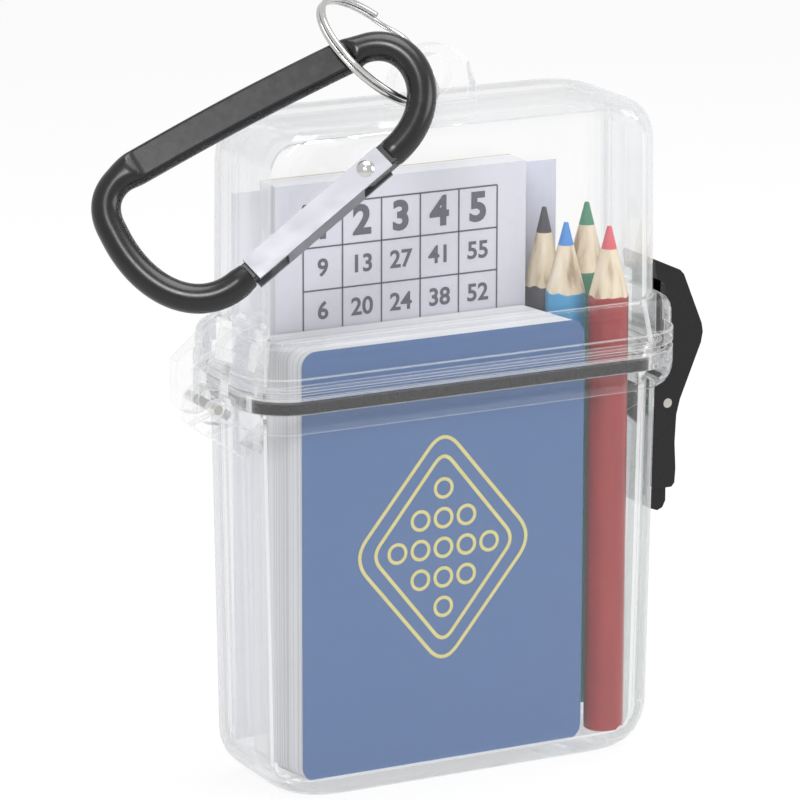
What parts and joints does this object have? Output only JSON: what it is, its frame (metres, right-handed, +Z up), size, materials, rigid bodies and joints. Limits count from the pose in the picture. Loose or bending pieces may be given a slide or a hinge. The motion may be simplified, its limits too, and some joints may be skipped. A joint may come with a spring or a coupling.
{
  "type": "clear travel game case",
  "caption": "Clear waterproof pocket case with hinged lid and side latch, holding cards, a numbered score pad, a sheet and coloured pencils, on a split ring and carabiner.",
  "frame": {"origin": "centre of the base's flat underside", "axes": "+Z up through the closed case, -Y out of the face that shows the deck, +X from the hinge towards the latch"},
  "size_m": [0.1345, 0.0454, 0.1589],
  "materials": {
    "clear_plastic": "clear, glossy",
    "seal_rubber": "satin",
    "pin_steel": "satin",
    "latch_plastic": "satin",
    "card_back": "smooth card, line pattern",
    "card_stock": "smooth card",
    "pad_paper": "matte, printed numbers",
    "backing_board": "matte",
    "sheet_paper": "matte",
    "red_wood": "painted, bare at the point",
    "red_core": "waxy",
    "blue_wood": "painted, bare at the point",
    "blue_core": "waxy",
    "green_wood": "painted, bare at the point",
    "green_core": "waxy",
    "black_wood": "painted, bare at the point",
    "black_core": "waxy",
    "ring_steel": "polished",
    "clip_metal": "black anodised, satin",
    "gate_metal": "satin",
    "rivet_metal": "polished",
    "spring_steel": "satin"
  },
  "bodies": {
    "case": {"base_shell": "clear_plastic", "gasket": "seal_rubber", "hinge_pin": "pin_steel", "top_card": "card_back", "card_deck": "card_stock", "score_pad": "pad_paper", "pad_backing": "backing_board", "rules_sheet": "sheet_paper", "pencil_red_casing": "red_wood", "pencil_red_core": "red_core", "pencil_blue_casing": "blue_wood", "pencil_blue_core": "blue_core", "pencil_green_casing": "green_wood", "pencil_green_core": "green_core", "pencil_black_casing": "black_wood", "pencil_black_core": "black_core"},
    "lid": {"lid_shell": "clear_plastic"},
    "latch": {"latch_lever": "latch_plastic", "latch_pin": "pin_steel"},
    "ring": {"split_ring": "ring_steel"},
    "clip": {"carabiner_frame": "clip_metal", "gate_rivet": "rivet_metal"},
    "gate": {"carabiner_gate": "gate_metal", "gate_spring": "spring_steel"}
  },
  "joints": [
    {"name": "lid_hinge", "type": "hinge", "parent": "case", "child": "lid", "pos_m": [-0.0515, 0, 0.0808], "axis": [0, -1, 0], "range_deg": [0, 100]},
    {"name": "latch_pivot", "type": "hinge", "parent": "case", "child": "latch", "pos_m": [0.0505, 0, 0.0701], "axis": [0, 1, 0], "range_deg": [0, 5], "stiffness_Nm_per_rad": 0.02, "springref_deg": -5.73},
    {"name": "ring_swing", "type": "hinge", "parent": "lid", "child": "ring", "pos_m": [-0.0013, 0, 0.1423], "axis": [0, 1, 0], "range_deg": [0, 60]},
    {"name": "clip_swing", "type": "hinge", "parent": "ring", "child": "clip", "pos_m": [-0.0188, -0.0163, 0.1429], "axis": [-0.8447, 0.038, 0.5338], "range_deg": [0, 25]},
    {"name": "gate_hinge", "type": "hinge", "parent": "clip", "child": "gate", "pos_m": [-0.02688, -0.02207, 0.12883], "axis": [0.4028, 0.7488, -0.5263], "range_deg": [0, 17], "stiffness_Nm_per_rad": 0.01, "springref_deg": -11.46}
  ]
}
